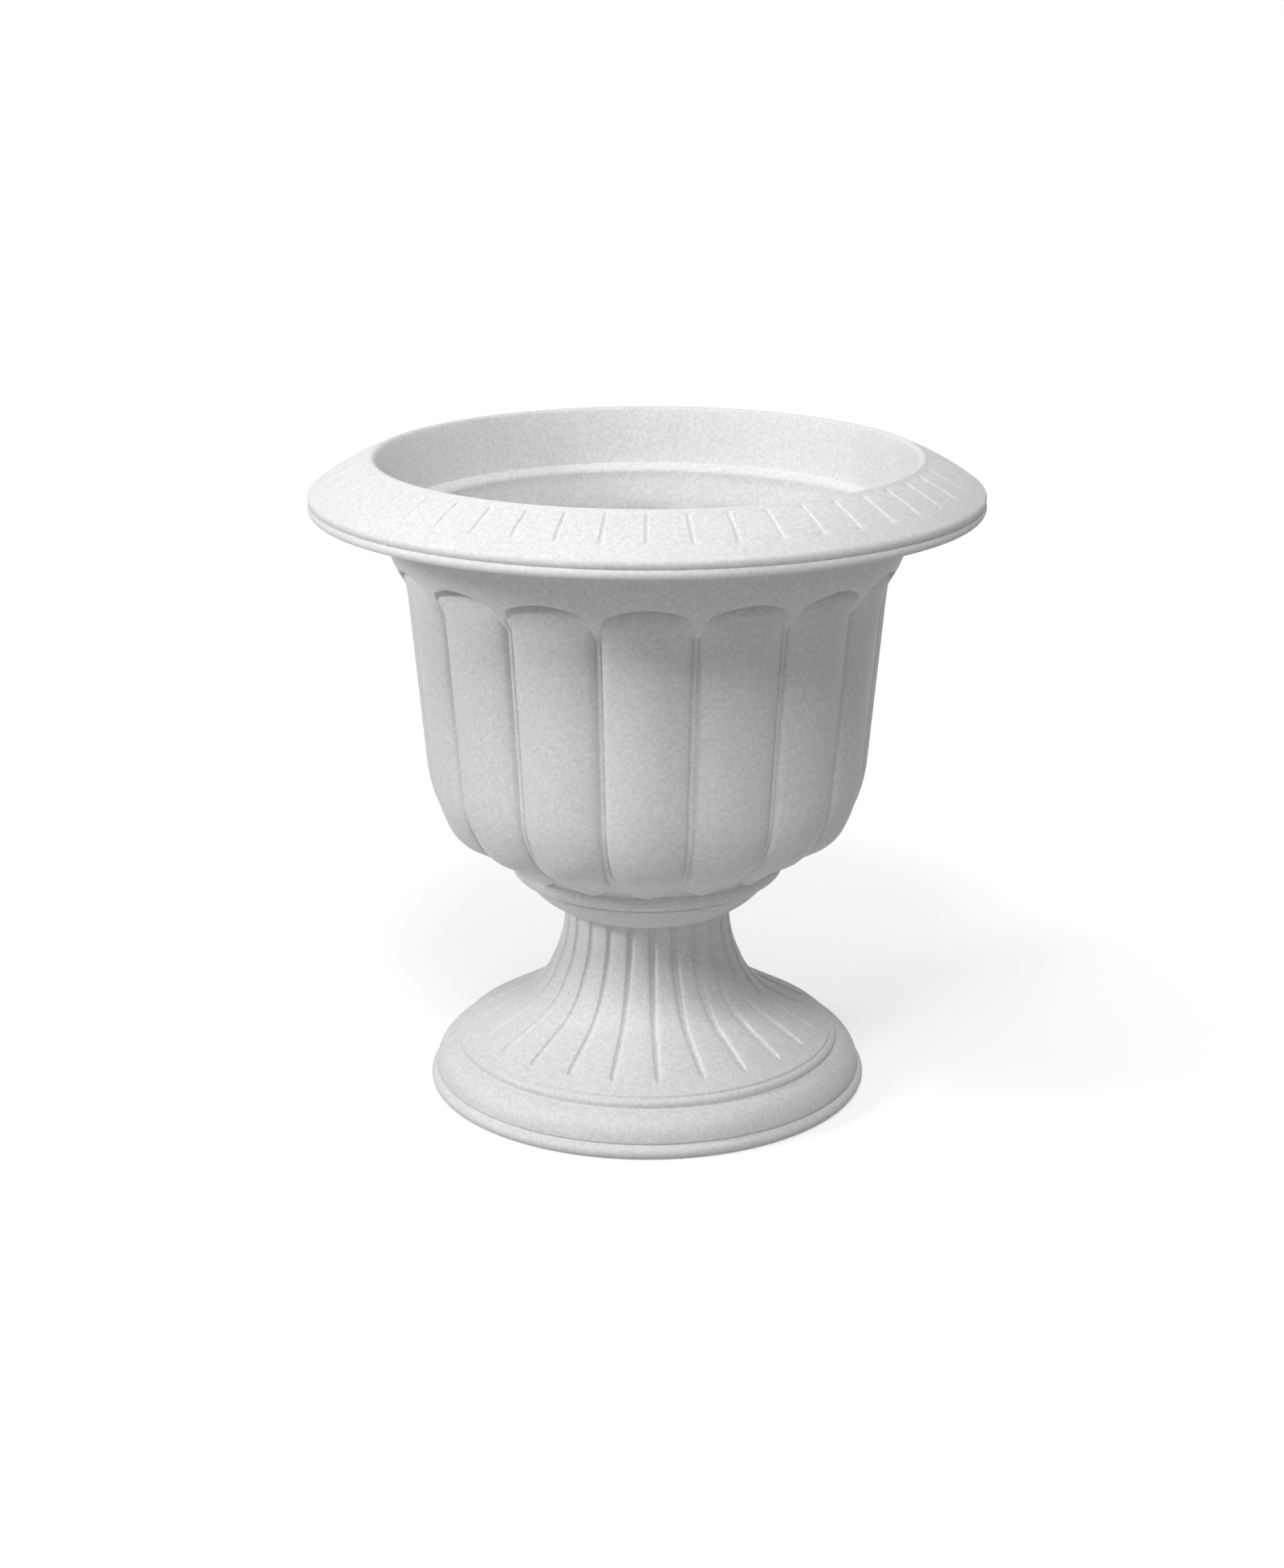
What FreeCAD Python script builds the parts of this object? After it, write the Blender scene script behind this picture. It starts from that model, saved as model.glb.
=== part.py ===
"""Urn planter: a lobed bowl with a grooved rim, bolted to a fluted trumpet pedestal.

Millimetres, +Z up. The origin is the centre of the pedestal's foot on the floor, and a lobe of
the bowl faces -Y. Each piece is modelled about its own seat and then placed on its neighbour.
"""

import FreeCAD, Part
import math
import os
import Sketcher

Vector = FreeCAD.Vector

# Driving dimensions in millimetres, degrees or counts: name, value, what it measures.
SIZES = [
    # shared by the mouldings
    ("wall", 4.5, "thickness of the moulded walls"),
    ("bolt_hole_radius", 4.5, "clearance hole for the bolt"),
    ("drain_count", 3, "drain holes round the bolt"),
    ("drain_circle", 34.0, "radius of the circle of drain holes"),
    ("drain_radius", 7.5, "radius of a drain hole in the bowl"),
    # pedestal, heights from the floor
    ("pedestal_height", 138.0, "floor to the seat of the bowl"),
    ("pedestal_top_radius", 58.0, "radius of the pedestal's neck"),
    ("pedestal_plate", 6.0, "thickness of the plate that closes the neck"),
    ("spigot_height", 11.0, "straight part of the neck, below the seat"),
    ("neck_flare_radius", 89.0, "first, slow bend of the trumpet"),
    ("neck_flare_out", 8.5, "how far the slow bend carries the wall outwards"),
    ("neck_flare_drop", 38.0, "height of the slow bend"),
    ("skirt_bend_radius", 60.0, "second, quick bend of the trumpet"),
    ("skirt_top_radius", 86.0, "radius where the quick bend ends"),
    ("skirt_top_height", 62.0, "height where the quick bend ends"),
    ("foot_top_radius", 131.0, "radius of the trumpet's lower edge"),
    ("foot_top_height", 36.6, "height of the trumpet's lower edge"),
    ("foot_radius", 152.8, "largest radius of the foot"),
    ("foot_round", 19.0, "radius of the rounded foot moulding"),
    ("foot_ring_width", 5.0, "width of the ring that stands on the floor"),
    ("flute_count", 24, "flutes round the pedestal"),
    ("flute_radius", 2.7, "radius of the tool that cuts a flute"),
    ("flute_depth", 2.1, "depth of a flute"),
    ("flute_end_radius", 122.0, "radius at which the flutes end"),
    ("pedestal_turn", 3.8, "angle of the pedestal against the bowl"),
    ("drain_relief_radius", 11.0, "radius of a drain hole in the pedestal's plate"),
    # bowl, heights from its seat on the pedestal
    ("bowl_height", 312.0, "seat to the crest of the rim"),
    ("floor_thickness", 6.0, "thickness of the bowl's floor"),
    ("socket_gap", 0.5, "gap round the pedestal's neck in its socket"),
    ("socket_depth", 6.6, "how far the collar reaches down round the neck"),
    ("collar_lip", 2.5, "width of the collar's lower edge"),
    ("collar_radius", 86.0, "radius of the top of the collar's round moulding"),
    ("collar_height", 13.4, "height of the top of the collar's round moulding"),
    ("collar_round", 52.0, "radius of the round moulding's curve"),
    ("ring_radius", 97.4, "radius of the ring under the lobes"),
    ("ring_height", 30.0, "height of the ring under the lobes"),
    ("ring_groove", 1.6, "depth of the grooves beside the ring's bead"),
    ("ring_bead_round", 8.0, "radius of the ring's bead"),
    ("belly_low_radius", 112.4, "radius where the belly's curve starts"),
    ("belly_low_height", 43.5, "height where the belly's curve starts"),
    ("belly_round", 59.0, "radius of the belly's curve"),
    ("wall_low_radius", 146.5, "radius of the ribs at the top of the belly"),
    ("wall_low_height", 97.0, "height of the top of the belly"),
    ("wall_top_radius", 157.4, "radius of the ribs at the foot of the neck"),
    ("cove_drop", 90.0, "crest of the rim to the foot of the neck"),
    ("cove_round", 60.0, "radius of the neck's hollow curve"),
    ("neck_radius", 177.7, "radius at the top of the neck's hollow curve"),
    ("neck_drop", 50.0, "crest of the rim to the top of the hollow curve"),
    ("rim_radius", 228.0, "radius of the rim's lower edge"),
    ("rim_crease_inset", 2.0, "how far the crease lies inside the lower edge"),
    ("rim_fall", 21.8, "crest of the rim to the crease above the lip"),
    ("rim_round", 150.0, "radius of the gentle curve across the rim"),
    ("lip_height", 12.1, "height of the lip below the crease"),
    ("lip_bead_height", 6.6, "height of the lip's upper bead"),
    ("lip_round", 4.0, "radius of the lip's two beads"),
    ("crest_radius", 185.5, "radius of the crest of the rim"),
    ("crest_round", 3.6, "radius of the rolled edge at the crest"),
    ("crest_width", 6.0, "width of the rolled edge at the crest"),
    ("mouth_low_radius", 171.0, "inner radius just above the ledge"),
    ("ledge_drop", 39.0, "crest of the rim to the ledge inside"),
    ("ledge_width", 8.0, "width of the ledge inside"),
    ("lobe_count", 16, "lobes round the bowl"),
    ("lobe_relief", 7.0, "how far a lobe stands out from the ribs"),
    ("lobe_tip_relief", 1.8, "how far a lobe stands out at its lower tip"),
    ("lobe_tip_length", 40.0, "length over which a lobe narrows to its tip"),
    ("lobe_shoulder_round", 110.0, "slow bend of a lobe into the belly"),
    ("lobe_shoulder_lean", 25.0, "lean from the vertical where the slow bend ends"),
    ("lobe_heel_round", 34.0, "quick bend of a lobe under the belly"),
    ("lobe_heel_lean", 66.0, "lean from the vertical where the quick bend ends"),
    ("lobe_tail", 30.0, "straight length from the quick bend to the tip"),
    ("rib_width", 5.0, "width of the flat rib between two lobes"),
    ("arch_drop", 67.0, "crest of the rim to the top of a lobe's arch"),
    ("arch_round", 60.0, "radius of the arch's flat top"),
    ("arch_shoulder", 4.2, "width of the arch's rounded shoulder"),
    ("arch_shoulder_round", 6.0, "radius of the arch's rounded shoulder"),
    ("arch_recess", 0.9, "depth of the arch's back behind the ribs"),
    ("grooves_per_lobe", 3, "radial grooves in the rim over each lobe, an odd number"),
    ("rim_groove_width", 3.4, "width of a rim groove"),
    ("rim_groove_depth", 1.6, "greatest depth of a rim groove"),
    ("rim_groove_start", 4.0, "crest to the inner end of a rim groove"),
    ("rim_groove_length", 27.5, "length of a rim groove, seen from above"),
    # bolt, nut, washers and drain plugs
    ("bolt_radius", 4.0, "radius of the bolt"),
    ("bolt_length", 40.0, "length of the bolt under its head"),
    ("bolt_head_radius", 10.0, "radius of the bolt's round head"),
    ("bolt_head_height", 5.0, "height of the bolt's round head"),
    ("washer_gap", 0.3, "gap between a washer's bore and the bolt"),
    ("seal_radius", 14.0, "radius of the sealing washer"),
    ("seal_thickness", 2.5, "thickness of the sealing washer"),
    ("washer_radius", 12.0, "radius of the flat washer"),
    ("washer_thickness", 2.0, "thickness of the flat washer"),
    ("nut_gap", 0.05, "running gap between the nut and the bolt"),
    ("nut_radius", 8.0, "radius of the nut's hub at the washer"),
    ("nut_top_radius", 6.6, "radius of the nut's hub at its far end"),
    ("nut_height", 9.0, "height of the nut's hub"),
    ("wing_span", 19.0, "bolt's axis to the tip of a wing"),
    ("wing_reach", 9.0, "how far a wing stands out past the hub"),
    ("wing_thickness", 3.0, "thickness of a wing"),
    ("plug_gap", 0.05, "running gap between a plug and its hole"),
    ("plug_stem", 10.0, "length of a plug's stem under its flange"),
    ("plug_flange_radius", 10.5, "radius of a plug's flange"),
    ("plug_flange_thickness", 2.5, "thickness of a plug's flange"),
    ("plug_chamfer", 1.2, "chamfer at the end of a plug's stem"),
    ("plug_tab_width", 11.0, "width of a plug's pull tab"),
    ("plug_tab_height", 10.0, "height of a plug's pull tab"),
    ("plug_tab_thickness", 3.0, "thickness of a plug's pull tab"),
    ("plug_tab_hole", 2.6, "radius of the finger hole in a pull tab"),
]

# Shares of the wall's thickness that step square to a surface sloping at about 42 degrees.
SLOPE_IN = 0.67
SLOPE_UP = 0.74


class Size:
    """A length with its formula, so that one sum gives both a number and an expression."""

    def __init__(self, value, text):
        self.value = value
        self.text = text

    def joined(self, sign, other, value):
        text = other.text if isinstance(other, Size) else repr(float(other))
        return Size(value, "(" + self.text + " " + sign + " " + text + ")")

    def __add__(self, other):
        return self.joined("+", other, self.value + number(other))

    def __sub__(self, other):
        return self.joined("-", other, self.value - number(other))

    def __mul__(self, other):
        return self.joined("*", other, self.value * number(other))

    def __truediv__(self, other):
        return self.joined("/", other, self.value / number(other))

    def __neg__(self):
        return Size(-self.value, "(0 - " + self.text + ")")


def number(size):
    """The plain value of a Size or of a number."""
    return size.value if isinstance(size, Size) else float(size)


class Sheet:
    """The spreadsheet of driving dimensions, each one also an attribute of this object."""

    def __init__(self, document):
        self.cells = document.addObject("Spreadsheet::Sheet", "Sizes")
        for row, (name, value, meaning) in enumerate(SIZES, start=1):
            self.cells.set("A%d" % row, name)
            self.cells.set("B%d" % row, str(value))
            self.cells.set("C%d" % row, meaning)
            self.cells.setAlias("B%d" % row, name)
        document.recompute()
        for name, _, _ in SIZES:
            setattr(self, name, Size(float(self.cells.get(name)), "Sizes." + name))


def bind(item, path, size):
    """Ties one property of an object to the sheet."""
    item.setExpression(path, size.text)


# Sketches and features ---------------------------------------------------------------------


def new_body(document, label):
    body = document.addObject("PartDesign::Body", label)
    body.Label = label
    return body


def origin_part(body, role):
    """The body's own plane or axis with this role."""
    return [part for part in body.Origin.OriginFeatures if part.Role == role][0]


def new_sketch(body, name, plane):
    sketch = body.newObject("Sketcher::SketchObject", name)
    sketch.AttachmentSupport = [(origin_part(body, plane), "")]
    sketch.MapMode = "FlatFace"
    return sketch


def hold(sketch, kind, axis, curve, end, size):
    """Fixes one coordinate of a curve's end, measured from the sketch's origin."""
    value = number(size)
    if value == 0:
        sketch.addConstraint(Sketcher.Constraint("PointOnObject", curve, end, axis))
        return
    if value > 0:
        index = sketch.addConstraint(Sketcher.Constraint(kind, -1, 1, curve, end, value))
        tied = size
    else:
        index = sketch.addConstraint(Sketcher.Constraint(kind, curve, end, -1, 1, -value))
        tied = -size
    if isinstance(tied, Size):
        bind(sketch, "Constraints[%d]" % index, tied)


def add_arc(sketch, start, finish, bend):
    """An arc between two points; a positive bend turns left on the way, a negative one right."""
    radius = abs(number(bend))
    chord = finish - start
    rise = math.sqrt(radius ** 2 - (chord.Length / 2) ** 2)
    side = Vector(-chord.y, chord.x, 0).normalize()
    middle = (start + finish) / 2
    centre = middle + side * rise if number(bend) > 0 else middle - side * rise
    first, last = (start, finish) if number(bend) > 0 else (finish, start)
    first_angle = math.atan2(first.y - centre.y, first.x - centre.x)
    last_angle = math.atan2(last.y - centre.y, last.x - centre.x)
    circle = Part.Circle(centre, Vector(0, 0, 1), radius)
    curve = sketch.addGeometry(Part.ArcOfCircle(circle, first_angle, last_angle))
    index = sketch.addConstraint(Sketcher.Constraint("Radius", curve, radius))
    bind(sketch, "Constraints[%d]" % index, bend if number(bend) > 0 else -bend)
    return curve, (1, 2) if number(bend) > 0 else (2, 1)


def outline(sketch, corners, closed=True):
    """Draws lines and arcs through corners given as (across, up) or (across, up, bend).

    A bend is the radius of the arc that leads on to the next corner. Every corner is fixed from
    the sketch's origin by the sizes it is made of.
    """
    points = [Vector(number(corner[0]), number(corner[1]), 0) for corner in corners]
    count = len(corners) if closed else len(corners) - 1
    curves = []
    for place in range(count):
        start = points[place]
        finish = points[(place + 1) % len(points)]
        if len(corners[place]) == 3:
            curve, ends = add_arc(sketch, start, finish, corners[place][2])
        else:
            curve = sketch.addGeometry(Part.LineSegment(start, finish))
            ends = (1, 2)
        curves.append((curve, ends))
    for place, (curve, ends) in enumerate(curves):
        if place + 1 < count or closed:
            following, following_ends = curves[(place + 1) % count]
            sketch.addConstraint(Sketcher.Constraint(
                "Coincident", curve, ends[1], following, following_ends[0]))
        hold(sketch, "DistanceX", -2, curve, ends[0], corners[place][0])
        hold(sketch, "DistanceY", -1, curve, ends[0], corners[place][1])
    if not closed:
        curve, ends = curves[-1]
        hold(sketch, "DistanceX", -2, curve, ends[1], corners[-1][0])
        hold(sketch, "DistanceY", -1, curve, ends[1], corners[-1][1])


def circle(sketch, across, up, radius):
    """Draws a circle whose centre and radius follow the sheet."""
    centre = Vector(number(across), number(up), 0)
    curve = sketch.addGeometry(Part.Circle(centre, Vector(0, 0, 1), number(radius)))
    hold(sketch, "DistanceX", -2, curve, 3, across)
    hold(sketch, "DistanceY", -1, curve, 3, up)
    index = sketch.addConstraint(Sketcher.Constraint("Radius", curve, number(radius)))
    bind(sketch, "Constraints[%d]" % index, radius)


def turn(body, name, corners, count=None):
    """A turned solid: the outline of one side, spun round the upright axis.

    With a count it is only a wedge, one of that many, with its middle on the X axis.
    """
    sketch = new_sketch(body, name + "_outline", "XZ_Plane")
    outline(sketch, corners)
    feature = body.newObject("PartDesign::Revolution", name)
    feature.Profile = sketch
    feature.ReferenceAxis = (sketch, ["V_Axis"])
    feature.Angle = 360
    if count is not None:
        feature.Midplane = True
        bind(feature, "Angle", whole_turn() / count)
    return feature


def whole_turn():
    return Size(360.0, "360")


def repeat(body, name, feature, count, angle, backwards=False):
    """Copies of a feature round the upright axis, the last one an angle away from the first."""
    pattern = body.newObject("PartDesign::PolarPattern", name)
    pattern.Originals = [feature]
    pattern.Axis = (origin_part(body, "Z_Axis"), [""])
    pattern.Reversed = backwards
    pattern.Angle = number(angle)
    bind(pattern, "Angle", angle)
    pattern.Occurrences = int(number(count))
    bind(pattern, "Occurrences", count)
    body.Tip = pattern
    return pattern


def close_ring(document, name, wedge, count):
    """One solid from a wedge and its copies, joined where their two cut faces meet."""
    step = 360.0 / count.value
    half = math.radians(step / 2)
    skin = []
    for face in wedge.Shape.Faces:
        on_cut = False
        for side in (1, -1):
            normal = Vector(-side * math.sin(half), math.cos(half), 0)
            offsets = [abs(vertex.Point.dot(normal)) for vertex in face.Vertexes]
            on_cut = on_cut or max(offsets) < 1e-4
        if not on_cut:
            skin.append(face)
    copies = []
    for place in range(int(count.value)):
        for face in skin:
            copy = face.copy()
            copy.rotate(Vector(0, 0, 0), Vector(0, 0, 1), place * step)
            copies.append(copy)
    shell = Part.Compound(copies)
    shell.sewShape()
    feature = document.addObject("Part::Feature", name)
    feature.Shape = Part.Solid(shell.Shells[0])
    return feature


def drill(document, label, blank, radius, height, size):
    """The finished moulding: a blank with its drain holes cut down through its floor."""
    drills = []
    for place in range(int(size.drain_count.value)):
        angle = math.radians(360.0 / size.drain_count.value * place)
        tool = document.addObject("Part::Cylinder", label + "_drill_%d" % (place + 1))
        bind(tool, "Radius", radius)
        bind(tool, "Height", height + 20.0)
        bind(tool, "Placement.Base.x", size.drain_circle * math.cos(angle))
        bind(tool, "Placement.Base.y", size.drain_circle * math.sin(angle))
        bind(tool, "Placement.Base.z", Size(-10.0, "-10"))
        drills.append(tool)
    bundle = document.addObject("Part::Compound", label + "_drills")
    bundle.Links = drills
    drilled = document.addObject("Part::Cut", label)
    drilled.Base = blank
    drilled.Tool = bundle
    drilled.Label = label
    return drilled


# Pedestal ----------------------------------------------------------------------------------


def build_pedestal(document, size):
    """A hollow moulded trumpet, open below, with a plate across its neck for the bolt."""
    body = new_body(document, "pedestal_wedge")
    top = size.pedestal_height
    inner_top = size.pedestal_top_radius - size.wall
    flare_top = top - size.spigot_height
    flare_low = flare_top - size.neck_flare_drop
    flare_radius = size.pedestal_top_radius + size.neck_flare_out
    edge_in = size.foot_top_radius
    edge_up = size.foot_top_height
    floor_in = size.foot_radius - size.foot_ring_width
    turn(body, "pedestal_wall", [
        # plate and neck, from inside outwards
        (size.bolt_hole_radius, top - size.pedestal_plate),
        (inner_top, top - size.pedestal_plate),
        (inner_top, flare_top, size.neck_flare_radius + size.wall),
        # inside of the trumpet, down to the floor
        (flare_radius - size.wall * 0.9, flare_low - size.wall * 0.4,
         size.skirt_bend_radius + size.wall),
        (size.skirt_top_radius - size.wall * 0.5, size.skirt_top_height - size.wall * 0.87),
        (edge_in - size.wall * 0.5, edge_up - size.wall),
        (size.foot_radius - size.foot_ring_width * 1.3, size.foot_ring_width * 2),
        (floor_in, 0),
        # lower bead, groove, round moulding, groove, upper bead and groove
        (size.foot_radius - 0.6, 0, Size(4.6, "4.6")),
        (size.foot_radius - 1.4, edge_up * 0.235),
        (size.foot_radius - 3.0, edge_up * 0.26),
        (size.foot_radius - 1.9, edge_up * 0.3, size.foot_round),
        (edge_in + 5.2, edge_up * 0.79),
        (edge_in + 3.5, edge_up * 0.795),
        (edge_in + 3.9, edge_up * 0.84, Size(3.0, "3")),
        (edge_in + 1.7, edge_up * 0.945),
        (edge_in + 0.2, edge_up * 0.955),
        (edge_in, edge_up),
        # outside of the trumpet, up to the neck
        (size.skirt_top_radius, size.skirt_top_height, -size.skirt_bend_radius),
        (flare_radius, flare_low, -size.neck_flare_radius),
        (size.pedestal_top_radius, flare_top),
        (size.pedestal_top_radius, top),
        (size.bolt_hole_radius, top),
    ], size.flute_count)

    # One flute: a round tool drawn down the outside of the trumpet.
    lift = size.flute_radius - size.flute_depth
    path = new_sketch(body, "flute_path", "XZ_Plane")
    slope = (edge_up - size.skirt_top_height) / (edge_in - size.skirt_top_radius)
    end_height = size.skirt_top_height + slope * (size.flute_end_radius - size.skirt_top_radius)
    outline(path, [
        (size.pedestal_top_radius + lift, flare_top + 2.0),
        (size.pedestal_top_radius + lift, flare_top, size.neck_flare_radius - lift),
        (flare_radius + lift * 0.9, flare_low + lift * 0.43, size.skirt_bend_radius - lift),
        (size.skirt_top_radius + lift * 0.5, size.skirt_top_height + lift * 0.87),
        (size.flute_end_radius + lift * 0.5, end_height + lift * 0.87),
    ], closed=False)
    section = new_sketch(body, "flute_section", "XY_Plane")
    bind(section, "AttachmentOffset.Base.z", flare_top + 2.0)
    circle(section, size.pedestal_top_radius + lift, 0, size.flute_radius)
    document.recompute()
    flute = body.newObject("PartDesign::SubtractivePipe", "flute")
    flute.Profile = section
    flute.Spine = (path, ["Edge%d" % (edge + 1) for edge in range(4)])
    flute.Transition = "Transformed"
    body.Tip = flute
    document.recompute()
    blank = close_ring(document, "pedestal_blank", body, size.flute_count)
    pedestal = drill(document, "pedestal", blank, size.drain_relief_radius, top, size)
    bind(pedestal, "Placement.Rotation.Angle", size.pedestal_turn)
    return pedestal


# Bowl --------------------------------------------------------------------------------------


def build_bowl_wedge(document, size):
    """One lobe's share of the bowl without the lobe: wall, rim, arch and rim grooves."""
    body = new_body(document, "bowl_wedge")
    top = size.bowl_height
    socket = size.pedestal_top_radius + size.socket_gap
    crease = top - size.rim_fall
    lip_low = crease - size.lip_height
    crease_radius = size.rim_radius - size.rim_crease_inset
    crest_out = size.crest_radius + size.crest_width / 2
    crest_in = size.crest_radius - size.crest_width / 2
    ledge = top - size.ledge_drop
    bead_low = size.collar_radius + 1.0
    bead_top = size.ring_radius - 1.8
    turn(body, "bowl_wall", [
        # seat, socket for the pedestal's neck, and collar
        (size.bolt_hole_radius, 0),
        (socket, 0),
        (socket, -size.socket_depth),
        (socket + size.collar_lip, -size.socket_depth, size.collar_round),
        (size.collar_radius, size.collar_height),
        (size.collar_radius - size.ring_groove * 0.9, size.collar_height + 1.5),
        (bead_low, size.collar_height + 2.2, size.ring_bead_round),
        (bead_top, size.ring_height - 4.4),
        (bead_top - size.ring_groove * 0.6, size.ring_height - 2.6),
        (size.ring_radius, size.ring_height),
        # ribs' surface: belly and tapered wall, then the neck's hollow curve
        (size.belly_low_radius, size.belly_low_height, size.belly_round),
        (size.wall_low_radius, size.wall_low_height),
        (size.wall_top_radius, top - size.cove_drop, -size.cove_round),
        (size.neck_radius, top - size.neck_drop),
        # underside of the rim, its lip with two beads, and the sloping top
        (size.crest_radius + size.wall * 0.6, crease + size.rim_fall * 0.61),
        (size.rim_radius - size.wall * 1.45, crease - size.wall * 0.8),
        (size.rim_radius - size.wall, lip_low),
        (size.rim_radius, lip_low, size.lip_round),
        (size.rim_radius - 0.8, crease - size.lip_bead_height, size.lip_round),
        (crease_radius, crease, size.rim_round),
        (crest_out, top - 1.0, size.crest_round),
        # inside: mouth, ledge, neck, wall, belly, collar and floor
        (crest_in, top - 2.5),
        (size.mouth_low_radius, ledge),
        (size.mouth_low_radius - size.ledge_width * 0.7, ledge - 2.5, Size(4.0, "4")),
        (size.mouth_low_radius - size.ledge_width, ledge - 7.0),
        (size.wall_top_radius - size.wall * 0.13, top - size.arch_drop),
        (size.wall_top_radius - size.wall, top - size.cove_drop),
        (size.wall_low_radius - size.wall, size.wall_low_height, -(size.belly_round - size.wall)),
        (size.belly_low_radius - size.wall * SLOPE_IN,
         size.belly_low_height + size.wall * SLOPE_UP),
        (size.ring_radius - size.wall, size.ring_height + size.wall * 0.2),
        (size.collar_radius - size.wall * SLOPE_IN, size.collar_height + size.wall),
        (socket + 10.0, size.floor_thickness),
        (size.bolt_hole_radius, size.floor_thickness),
    ], size.lobe_count)

    # Arched recess that the top of each lobe stands in.
    apex = top - size.arch_drop
    half = lobe_half_width(size)
    arch_width = Size(half, "%.6f" % half)
    recess = new_sketch(body, "arch_outline", "YZ_Plane")
    bind(recess, "AttachmentOffset.Base.z", size.wall_top_radius - size.arch_recess)
    foot = top - size.cove_drop - 5.0
    outline(recess, [
        (-arch_width, foot),
        (arch_width, foot),
        (arch_width, apex - 11.5, size.arch_shoulder_round),
        (arch_width - size.arch_shoulder, apex - 5.0, size.arch_round),
        (-(arch_width - size.arch_shoulder), apex - 5.0, size.arch_shoulder_round),
        (-arch_width, apex - 11.5),
    ])
    arch = body.newObject("PartDesign::Pocket", "arch")
    arch.Profile = recess
    arch.Type = "Length"
    arch.Reversed = True
    arch.Length = 30
    bind(arch, "Length", size.neck_radius - size.wall_top_radius + 10.0)

    # Radial groove across the rim, deepest in the middle of its length.
    start_radius = size.crest_radius + size.rim_groove_start
    end_radius = start_radius + size.rim_groove_length
    fall = (size.rim_fall - 1.0) / (crease_radius - crest_out)
    start_height = top - 1.0 - fall * (start_radius - crest_out)
    end_height = top - 1.0 - fall * (end_radius - crest_out)
    groove_outline = new_sketch(body, "rim_groove_outline", "XZ_Plane")
    middle_radius = start_radius + size.rim_groove_length / 2
    middle_height = (start_height + end_height) / 2
    outline(groove_outline, [
        (start_radius, start_height + 0.2),
        (middle_radius - 5.0, middle_height + fall * 5.0 + 1.5 - size.rim_groove_depth),
        (middle_radius + 5.0, middle_height - fall * 5.0 + 1.5 - size.rim_groove_depth),
        (end_radius, end_height + 0.2),
        (middle_radius + 5.0, middle_height + 8.0),
    ])
    groove = body.newObject("PartDesign::Pocket", "rim_groove")
    groove.Profile = groove_outline
    groove.SideType = "Symmetric"
    groove.Length = size.rim_groove_width.value
    bind(groove, "Length", size.rim_groove_width)
    document.recompute()
    one_side = (size.grooves_per_lobe - 1.0) / 2
    spread = whole_turn() / size.lobe_count / size.grooves_per_lobe * one_side
    repeat(body, "rim_grooves_left", groove, one_side + 1.0, spread)
    repeat(body, "rim_grooves_right", groove, one_side + 1.0, spread, backwards=True)
    document.recompute()
    return body


def lobe_half_width(size):
    """Half the width of a lobe at its top, between two ribs."""
    half_step = math.pi / size.lobe_count.value
    edge_radius = size.wall_top_radius.value - 1.5
    return edge_radius * math.tan(half_step) - size.rib_width.value / 2


def crown_line(size):
    """The lobe's crown from its top to its tip, as (radius, height, lean, length to the tip)."""
    taper = math.atan2(size.wall_top_radius.value - size.wall_low_radius.value,
                       size.bowl_height.value - size.cove_drop.value - size.wall_low_height.value)
    crown_low = size.wall_low_radius.value + size.lobe_relief.value
    low = size.wall_low_height.value + 2.0
    apex = size.bowl_height.value - size.arch_drop.value
    shoulder_lean = math.radians(size.lobe_shoulder_lean.value)
    heel_lean = math.radians(size.lobe_heel_lean.value)

    # Rounded top end, rolled in behind the arch: drop below the apex, and how far rolled in.
    line = []
    for drop, inward in ((-2.0, 8.6), (1.8, 4.4), (5.5, 1.5), (11.0, 0.0), (20.0, 0.0)):
        height = apex - drop
        radius = crown_low + (height - low) * math.tan(taper) - inward
        line.append([radius, height, 0.0])
    straight = apex - 20.0 - low
    for share in (0.3, 0.6, 0.88):
        height = apex - 20.0 - straight * share
        line.append([crown_low + (height - low) * math.tan(taper), height, 0.0])

    # Slow bend into the belly, quick bend under it, and the straight tail.
    radius, height, lean = crown_low, low, taper
    line.append([radius, height, lean])
    bends = ((size.lobe_shoulder_round.value, shoulder_lean, 3),
             (size.lobe_heel_round.value, heel_lean, 4))
    for bend, end_lean, steps in bends:
        turn_step = (end_lean - lean) / steps
        for _ in range(steps):
            following = lean + turn_step
            radius -= bend * (math.cos(lean) - math.cos(following))
            height -= bend * (math.sin(following) - math.sin(lean))
            lean = following
            line.append([radius, height, lean])
    steps = 4
    for _ in range(steps):
        radius -= size.lobe_tail.value / steps * math.sin(lean)
        height -= size.lobe_tail.value / steps * math.cos(lean)
        line.append([radius, height, lean])

    left = 2.0
    for place in range(len(line) - 1, -1, -1):
        if place < len(line) - 1:
            below = line[place + 1]
            left += math.hypot(line[place][0] - below[0], line[place][1] - below[1])
        line[place].append(left)
    return line


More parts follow.
